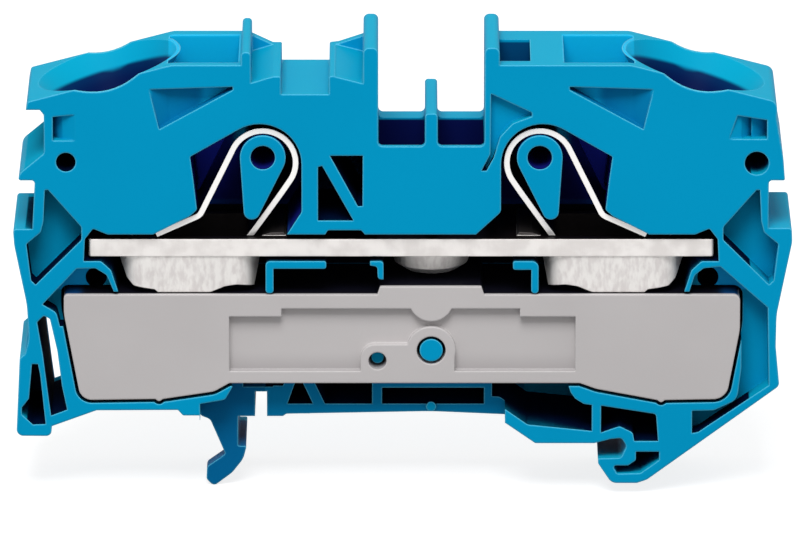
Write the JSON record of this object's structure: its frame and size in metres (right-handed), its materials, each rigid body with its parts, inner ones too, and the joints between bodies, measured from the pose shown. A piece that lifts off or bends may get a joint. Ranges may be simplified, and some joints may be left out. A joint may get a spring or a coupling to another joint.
{
  "type": "feed-through terminal block",
  "caption": "Rail-mounted feed-through terminal block with an open-fronted blue moulding, current bar, spring clamps, grey filler, and a hook and flexible foot for the rail.",
  "frame": {"origin": "middle of the 35 mm rail, on the plane of its top face, half way through the block", "axes": "+X along the block from the flexible foot to the fixed hook, +Y from the open front to the closed back, +Z away from the rail"},
  "size_m": [0.07, 0.012, 0.0416],
  "materials": {
    "housing": "blue polyamide, satin moulded",
    "filler": "grey polyamide, satin moulded",
    "current_bar": "tinned copper, dull silver",
    "clamping_spring": "stainless spring strip"
  },
  "bodies": {
    "block": {"housing": "housing", "filler": "filler", "current_bar": "current_bar"},
    "left_clamp": {"left_clamping_spring": "clamping_spring"},
    "right_clamp": {"right_clamping_spring": "clamping_spring"}
  },
  "joints": [
    {"name": "left_clamp_opening", "type": "hinge", "parent": "block", "child": "left_clamp", "pos_m": [-0.01513, 0, 0.02625], "axis": [0, -1, 0], "range_deg": [0, 15], "stiffness_Nm_per_rad": 0.3, "deforming": ["left_clamping_spring"]},
    {"name": "right_clamp_opening", "type": "hinge", "parent": "block", "child": "right_clamp", "pos_m": [0.00973, 0, 0.02625], "axis": [0, 1, 0], "range_deg": [0, 15], "stiffness_Nm_per_rad": 0.3, "deforming": ["right_clamping_spring"]}
  ]
}
